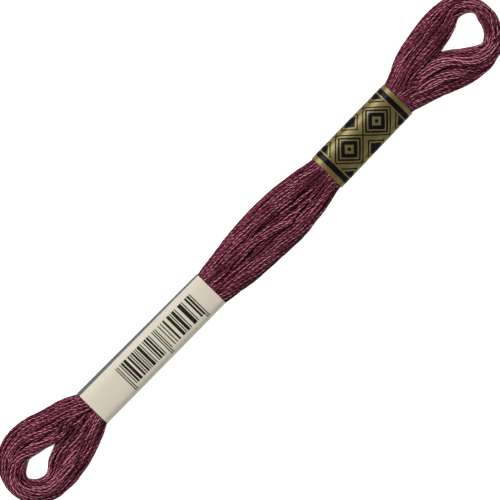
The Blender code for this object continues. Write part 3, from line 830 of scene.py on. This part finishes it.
def add_sleeve(name, xs, section, thickness, finishes, finish_of):
    """A closed sleeve through its sections, with x and the girth from its top, in mm, as the UV map 'wrap'.

    finish_of says which of the finishes a face has, from its x, its y and z, and whether it is outside.
    """
    outer = np.array([section(x) for x in xs])
    ahead = np.roll(outer, -1, 1) - np.roll(outer, 1, 1)
    inward = np.stack([-ahead[..., 1], ahead[..., 0]], -1) / np.linalg.norm(ahead, axis=-1)[..., None]
    centre = outer.mean(1, keepdims=True)
    inward *= np.sign(((centre - outer) * inward).sum(-1))[..., None]
    inner = outer + inward * thickness
    steps = np.linalg.norm(np.roll(outer, -1, 1) - outer, axis=-1)
    girth = np.concatenate([np.zeros((len(xs), 1)), np.cumsum(steps, 1)], 1)
    girth = girth - girth[:, [int(np.argmax(outer[0, :, 1]))]]
    mesh = bmesh.new()
    outer_rings, inner_rings = (
        [[mesh.verts.new((x * MM, y * MM, z * MM)) for y, z in ring] for x, ring in zip(xs, wall)]
        for wall in (outer, inner)
    )
    wrap = mesh.loops.layers.uv.new("wrap")
    for i in range(len(xs) - 1):
        for j in range(RING_POINTS):
            after = (j + 1) % RING_POINTS
            # each corner's section, its point, and its step round the girth
            corners = ((i, j, j), (i + 1, j, j), (i + 1, after, j + 1), (i, after, j + 1))
            for rings, order in ((outer_rings, corners), (inner_rings, corners[::-1])):
                face = mesh.faces.new([rings[ring][point] for ring, point, _ in order])
                face.smooth = True
                face.material_index = finish_of((xs[i] + xs[i + 1]) / 2, outer[i, j], rings is outer_rings)
                for loop, (ring, _, step) in zip(face.loops, order):
                    loop[wrap].uv = (xs[ring], girth[ring, step])
    for i in (0, len(xs) - 1):
        outer_ring, inner_ring = outer_rings[i], inner_rings[i]
        for j in range(RING_POINTS):
            after = (j + 1) % RING_POINTS
            face = mesh.faces.new((outer_ring[j], outer_ring[after], inner_ring[after], inner_ring[j]))
            face.material_index = finish_of(xs[i], outer[i, j], False)
            for loop in face.loops:
                loop[wrap].uv = (xs[i], 0)
    bmesh.ops.recalc_face_normals(mesh, faces=mesh.faces)
    data = bpy.data.meshes.new(name)
    mesh.to_mesh(data)
    mesh.free()
    data.set_sharp_from_angle(angle=math.radians(40))
    for finish in finishes:
        data.materials.append(finish)
    made = bpy.data.objects.new(name, data)
    bpy.context.scene.collection.objects.link(made)
    return made


def add_paper_grain(tree, shader):
    """Fine paper fibres as bump, from the piece's own place, and that place and the fibres."""
    here = add_node(tree, "ShaderNodeTexCoord").outputs["Object"]
    grain = make_noise(tree, here, 2600.0, 3.0)
    bump = add_node(tree, "ShaderNodeBump", {"Height": grain, "Strength": 0.25, "Distance": 0.01 * MM})
    tree.links.new(bump.outputs["Normal"], shader.inputs["Normal"])
    return here, grain


def mix_colours(tree, share, first, second):
    """A colour between two, each a colour or the socket that feeds it."""
    made = add_node(tree, "ShaderNodeMix", {"Factor": share}, data_type="RGBA")
    for socket, value in zip([s for s in made.inputs if s.type == "RGBA"], (first, second)):
        feed(tree, socket, (*value, 1) if isinstance(value, tuple) else value)
    return [s for s in made.outputs if s.type == "RGBA"][0]


def between(tree, value, low, high):
    """1 where a value lies between low and high, else 0."""
    above = calculate(tree, "GREATER_THAN", value, low)
    return calculate(tree, "MULTIPLY", above, calculate(tree, "LESS_THAN", value, high))


# The bars stand on modules of one width, counted from their start. Which modules are black is drawn at
# random and stands for nothing, except that a few groups are long and have every other module black.
BARS_START_X = -43.1
BARS_Y = (-3.10, 2.95)
LONG_BARS_Y = -4.15
BAR_MODULE = 0.267
BAR_MODULES = 95
LONG_GROUPS = ((-0.5, 2.5), (44.5, 49.5), (BAR_MODULES - 3.5, BAR_MODULES - 0.5))
BARS_SEED = 65.5
FACE_Z = 2.5  # the bars are printed above this height only
cream, tree, shader = add_material("cream_paper", (0.5, 0.47, 0.38), 0.6, Specular_IOR_Level=0.15)
here, grain = add_paper_grain(tree, shader)
paper_colour = mix_colours(
    tree, make_noise(tree, here, 220.0, 4.0), (0.50, 0.462, 0.365), (0.565, 0.527, 0.427)
)
local = add_node(tree, "ShaderNodeSeparateXYZ", {0: here}).outputs
label_x, label_y, label_z = (calculate(tree, "DIVIDE", local[axis], MM) for axis in "XYZ")
module = calculate(tree, "DIVIDE", calculate(tree, "SUBTRACT", label_x, BARS_START_X), BAR_MODULE)
module = calculate(tree, "FLOOR", module)
chance = add_node(
    tree, "ShaderNodeTexWhiteNoise", {"W": calculate(tree, "ADD", module, BARS_SEED)}, noise_dimensions="1D"
).outputs["Value"]
drawn = calculate(tree, "GREATER_THAN", chance, 0.5)
even = calculate(tree, "LESS_THAN", calculate(tree, "FLOORED_MODULO", module, 2.0), 0.5)
long = 0.0
for group in LONG_GROUPS:
    long = calculate(tree, "ADD", between(tree, module, *group), long)
short = calculate(tree, "SUBTRACT", 1.0, long)
# a bar's black is its module's, as far down as it goes, on the face only
ink = calculate(tree, "MULTIPLY_ADD", long, even, calculate(tree, "MULTIPLY", short, drawn))
long_reach = calculate(tree, "MULTIPLY", long, between(tree, label_y, LONG_BARS_Y, BARS_Y[1]))
for mask in (
    between(tree, module, -0.5, BAR_MODULES - 0.5),
    calculate(tree, "MAXIMUM", between(tree, label_y, *BARS_Y), long_reach),
    calculate(tree, "GREATER_THAN", label_z, FACE_Z),
):
    ink = calculate(tree, "MULTIPLY", ink, mask)
ink_colour = mix_colours(tree, grain, (0.003, 0.0025, 0.002), (0.010, 0.008, 0.006))
tree.links.new(mix_colours(tree, ink, paper_colour, ink_colour), shader.inputs["Base Color"])

grey_side, tree, shader = add_material(
    "dark_grey_paper", (0.045, 0.049, 0.053), 0.55, Specular_IOR_Level=0.25
)
add_paper_grain(tree, shader)


def label_finish(x, point, outside):
    """Grey on the narrow side beyond the crease, and cream elsewhere."""
    y, z = point
    start_y, low_z, high_z = GREY_SIDE
    return 1 if outside and y > start_y and low_z < z < high_z else 0


paper_label = add_sleeve(
    "paper_label_sleeve", np.linspace(*LABEL_X, 42), label_section, PAPER, (cream, grey_side), label_finish
)
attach(paper_label, "root")
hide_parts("paper_label")

# --- The gilt band --------------------------------------------------------------------------------------
# A sleeve of clear glossy film, printed gold and black on its inside and shrunk round the bundle. A
# narrow margin at each end is left clear, and the floss shows through it.
BAND_X = (25.2, 51.7)
PRINT_X = (26.1, 50.7)
BAND = (
    # x, low_y, high_y, top
    (25.2, -5.30, 4.84, 5.40),
    (38.4, -5.08, 4.93, 5.40),
    (51.7, -4.88, 5.00, 5.35),
)
BAND_SQUARENESS = 2.3
FILM = 0.1
FILM_EDGE_HIGHLIGHT_GIRTH = (-2.50, -2.28)  # where a bluish-grey line is painted on the print, a painted highlight along the film's edge
# The print: a black stripe near each end, and between them lozenges of black rings, in rows along the
# band and round it. A ring's edges say how far out it lies, from 0 in a lozenge's middle to 2 midway
# between four of them.
BLACK_STRIPES_X = ((27.3, 28.7), (48.3, 49.6))
FIELD_X = (BLACK_STRIPES_X[0][1] + 0.35, BLACK_STRIPES_X[1][0] - 0.35)
LOZENGE = 9.4
BLACK_RINGS = ((-1.0, 0.12), (0.32, 0.60), (0.70, 0.84), (0.95, 1.05), (1.36, 1.46), (1.58, 3.0))
GOLD_METALLIC = 0.45  # the black print isn't metallic
GOLD_GLOSS, BLACK_GLOSS = 0.10, 0.02


def band_section(x):
    """The band's outline at x: a rounded form that the table presses flat below."""
    low_y, high_y, top = read_rows(BAND, [x])[0]
    angle = math.tau * np.arange(481) / 480
    across = np.sign(np.cos(angle)) * np.abs(np.cos(angle)) ** (2 / BAND_SQUARENESS)
    up = np.sign(np.sin(angle)) * np.abs(np.sin(angle)) ** (2 / BAND_SQUARENESS)
    y = (low_y + high_y) / 2 + (high_y - low_y) / 2 * across
    z = (top - 0.2) / 2 + (top + 0.2) / 2 * up
    return close_section(np.stack([y, z], 1))


def off_middle(tree, place, edge):
    """How far a place lies from its lozenge's middle, as a share of the width, where one starts at edge."""
    share = calculate(tree, "DIVIDE", calculate(tree, "SUBTRACT", place, edge), LOZENGE)
    share = calculate(tree, "FRACT", share)
    return calculate(tree, "ABSOLUTE", calculate(tree, "SUBTRACT", share, 0.5))


gilt, tree, shader = add_material(
    "gilt_print_under_film", (0.2, 0.16, 0.06), 0.38,
    Metallic=GOLD_METALLIC, Specular_IOR_Level=GOLD_GLOSS, Coat_Weight=0.04, Coat_Roughness=0.08,
)
wrap = add_node(tree, "ShaderNodeUVMap", uv_map="wrap").outputs["UV"]
wrap = add_node(tree, "ShaderNodeSeparateXYZ", {0: wrap}).outputs
band_x, band_girth = wrap["X"], wrap["Y"]
off_along = off_middle(tree, band_x, (FIELD_X[0] + FIELD_X[1]) / 2)
off_round = off_middle(tree, band_girth, LOZENGE / 2)
off = calculate(tree, "MULTIPLY", calculate(tree, "ADD", off_along, off_round), 2.0)
black = 0.0
for ring in BLACK_RINGS:
    black = calculate(tree, "ADD", between(tree, off, *ring), black)
black = calculate(tree, "MULTIPLY", black, between(tree, band_x, *FIELD_X))
for stripe in BLACK_STRIPES_X:
    black = calculate(tree, "ADD", between(tree, band_x, *stripe), black)
here = add_node(tree, "ShaderNodeTexCoord").outputs["Object"]
rubbed = make_noise(tree, here, 900.0, 3.0)
gold = mix_colours(tree, rubbed, (0.108, 0.085, 0.026), (0.172, 0.139, 0.045))
printed = mix_colours(tree, black, gold, (0.0050, 0.0040, 0.0052))
# A painted highlight along the film's edge: the print goes half way to a bluish grey there.
film_edge_highlight = calculate(tree, "MULTIPLY", between(tree, band_girth, *FILM_EDGE_HIGHLIGHT_GIRTH), 0.5)
printed = mix_colours(tree, film_edge_highlight, printed, (0.06, 0.06, 0.075))
metallic = calculate(tree, "MULTIPLY_ADD", black, -GOLD_METALLIC, GOLD_METALLIC)
gloss = calculate(tree, "MULTIPLY_ADD", black, BLACK_GLOSS - GOLD_GLOSS, GOLD_GLOSS)
bump = add_node(tree, "ShaderNodeBump", {"Height": rubbed, "Strength": 0.1, "Distance": 0.02 * MM})
tree.links.new(printed, shader.inputs["Base Color"])
tree.links.new(metallic, shader.inputs["Metallic"])
tree.links.new(gloss, shader.inputs["Specular IOR Level"])
tree.links.new(bump.outputs["Normal"], shader.inputs["Normal"])

clear_film, _, _ = add_material("clear_film", (0.35, 0.15, 0.2), 0.25, Alpha=0.02, Specular_IOR_Level=0.1)


def band_finish(x, point, outside):
    """Clear film in the two margins, and the print between them."""
    return 0 if PRINT_X[0] <= x <= PRINT_X[1] else 1


margins = [(BAND_X[0] + PRINT_X[0]) / 2, (BAND_X[1] + PRINT_X[1]) / 2]
band_xs = [BAND_X[0], margins[0], *np.linspace(*PRINT_X, 28), margins[1], BAND_X[1]]
gilt_band = add_sleeve("gilt_band_sleeve", band_xs, band_section, FILM, (gilt, clear_film), band_finish)
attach(gilt_band, "root")
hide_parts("gilt_band")

# --- The table and the light ------------------------------------------------------------------------
# A white light table, and large soft lights round it: the strongest stands on the side of the label's
# crease. The room overhead is dim, so the black print and the film stay free of a white reflection.
mesh = bpy.data.meshes.new("table_top")
mesh.from_pydata([(-0.6, -0.6, 0), (0.6, -0.6, 0), (0.6, 0.6, 0), (-0.6, 0.6, 0)], [], [(0, 1, 2, 3)])
table_top = bpy.data.objects.new("table_top", mesh)
bpy.context.scene.collection.objects.link(table_top)
white, _, _ = add_material("white_table", (0.6, 0.6, 0.6), 0.8, Emission_Strength=0.95)
mesh.materials.append(white)

world = bpy.data.worlds.new("dim_room")
bpy.context.scene.world = world
world.use_nodes = True
world.node_tree.nodes["Background"].inputs["Color"].default_value = (1, 1, 1, 1)
world.node_tree.nodes["Background"].inputs["Strength"].default_value = 0.08


def add_light(name, place, size, watts):
    """A soft square light that looks at the skein."""
    lamp = bpy.data.lights.new(name, "AREA")
    lamp.size, lamp.energy = size, watts
    made = bpy.data.objects.new(name, lamp)
    bpy.context.scene.collection.objects.link(made)
    made.location = place
    aim = -made.location.normalized()
    made.rotation_euler = aim.to_track_quat("-Z", "Y").to_euler()


add_light("window", (-0.15, 0.70, 0.75), 0.6, 14.0)
add_light("fill", (0.15, -0.75, 0.55), 0.7, 2.0)
add_light("label_end_fill", (-0.8, 0.0, 0.55), 0.6, 1.0)
add_light("band_end_fill", (0.8, 0.0, 0.55), 0.6, 1.2)
